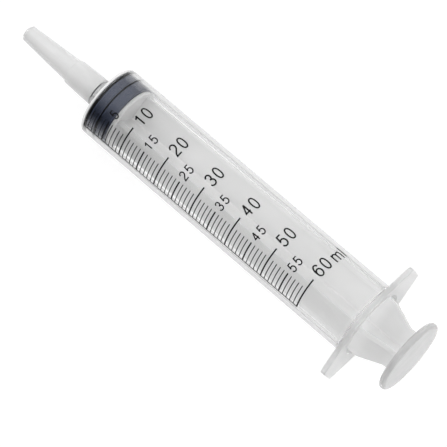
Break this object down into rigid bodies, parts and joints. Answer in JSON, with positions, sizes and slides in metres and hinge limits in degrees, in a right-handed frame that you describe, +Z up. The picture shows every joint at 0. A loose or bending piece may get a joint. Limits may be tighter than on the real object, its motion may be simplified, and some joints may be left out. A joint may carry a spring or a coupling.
{
  "type": "catheter tip syringe",
  "caption": "Large clear syringe with a long tapered catheter tip under a cap, black rubber stopper, ribbed plunger rod, finger flange and printed ml scale.",
  "frame": {"origin": "on the barrel's axis, at the zero of the scale", "axes": "+X along the axis from the tip towards the thumb press, +Y across the finger wings, +Z up as the syringe lies on a table"},
  "size_m": [0.1924, 0.0494, 0.0318],
  "materials": {
    "barrel": "clear, slightly milky polypropylene",
    "tip_cap": "milky translucent polyethylene",
    "stopper": "smooth siliconed rubber",
    "plunger_rod": "milky translucent polypropylene"
  },
  "bodies": {
    "barrel": {"barrel": "barrel"},
    "cap": {"tip_cap": "tip_cap"},
    "piston": {"stopper": "stopper"},
    "rod": {"plunger_rod": "plunger_rod"}
  },
  "joints": [
    {"name": "plunger_slide", "type": "slide", "parent": "barrel", "child": "piston", "axis": [1, 0, 0], "range_m": [0, 0.116]},
    {"name": "rod_spin", "type": "hinge", "parent": "piston", "child": "rod", "pos_m": [0.009, 0, 0], "axis": [1, 0, 0], "continuous": true},
    {"name": "cap_pull", "type": "slide", "parent": "barrel", "child": "cap", "axis": [-1, 0, 0], "range_m": [0, 0.045]}
  ]
}
